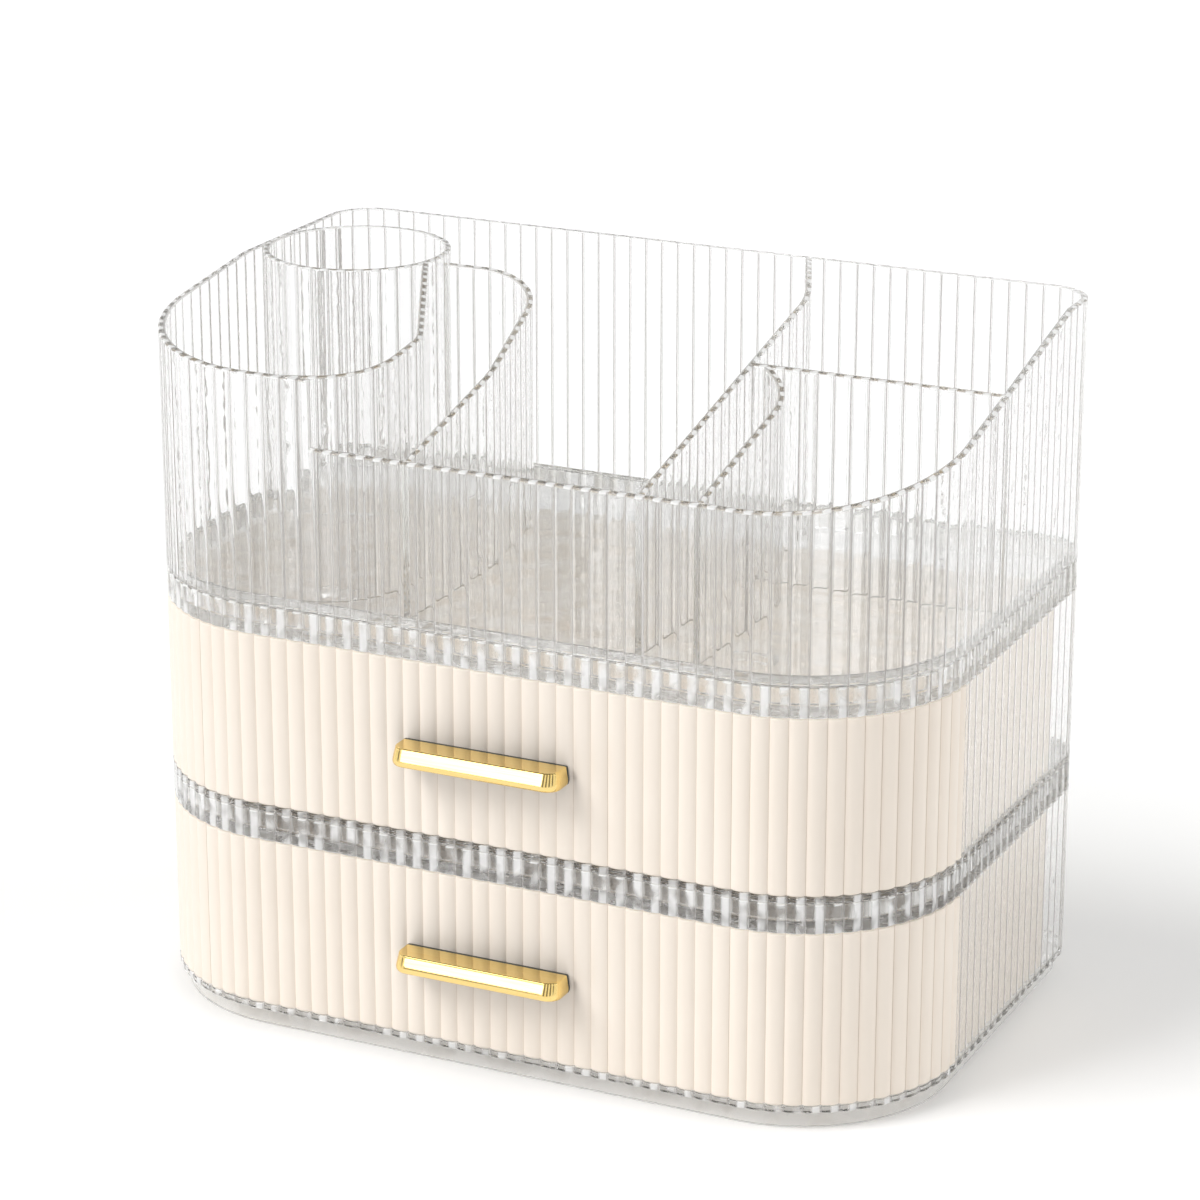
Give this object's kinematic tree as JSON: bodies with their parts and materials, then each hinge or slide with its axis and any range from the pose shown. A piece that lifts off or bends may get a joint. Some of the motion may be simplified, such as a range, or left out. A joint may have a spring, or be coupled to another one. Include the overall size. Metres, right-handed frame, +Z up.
{
  "type": "makeup organizer with drawers",
  "caption": "Stackable clear reeded cosmetics organizer: drawer modules with cream reeded fronts and gold bar pulls under an open tray with a brush cup and curved dividers.",
  "frame": {"origin": "centre of the bounding box, handles included, on the surface that the organizer stands on", "axes": "+X along the width to the viewer's right, drawers open towards -Y, +Z up"},
  "size_m": [0.28, 0.1836, 0.2379],
  "materials": {
    "clear_acrylic": "clear, polished, reeded",
    "cream_plastic": "satin cream, reeded",
    "gold_metal": "mirror-polished gold plating",
    "screw_steel": "plain steel"
  },
  "bodies": {
    "lower_casing": {"lower_base_plate": "clear_acrylic", "lower_shell": "clear_acrylic", "lower_top_plate": "clear_acrylic"},
    "lower_drawer": {"lower_drawer_box": "cream_plastic", "lower_drawer_front": "cream_plastic", "lower_handle": "gold_metal", "lower_handle_screws": "screw_steel"},
    "upper_casing": {"upper_base_plate": "clear_acrylic", "upper_shell": "clear_acrylic", "upper_top_plate": "clear_acrylic"},
    "upper_drawer": {"upper_drawer_box": "cream_plastic", "upper_drawer_front": "cream_plastic", "upper_handle": "gold_metal", "upper_handle_screws": "screw_steel"},
    "tray": {"tray_floor": "clear_acrylic", "tray_wall": "clear_acrylic", "brush_cup": "clear_acrylic", "pocket_divider": "clear_acrylic", "left_divider": "clear_acrylic", "centre_divider": "clear_acrylic", "cross_divider": "clear_acrylic", "front_divider": "clear_acrylic"}
  },
  "joints": [
    {"name": "lower_drawer_slide", "type": "slide", "parent": "lower_casing", "child": "lower_drawer", "axis": [0, -1, 0], "range_m": [0, 0.105]},
    {"name": "upper_module_lift", "type": "slide", "parent": "lower_casing", "child": "upper_casing", "axis": [0, 0, 1], "range_m": [0, 0.06]},
    {"name": "upper_drawer_slide", "type": "slide", "parent": "upper_casing", "child": "upper_drawer", "axis": [0, -1, 0], "range_m": [0, 0.105]},
    {"name": "tray_lift", "type": "slide", "parent": "upper_casing", "child": "tray", "axis": [0, 0, 1], "range_m": [0, 0.06]}
  ]
}
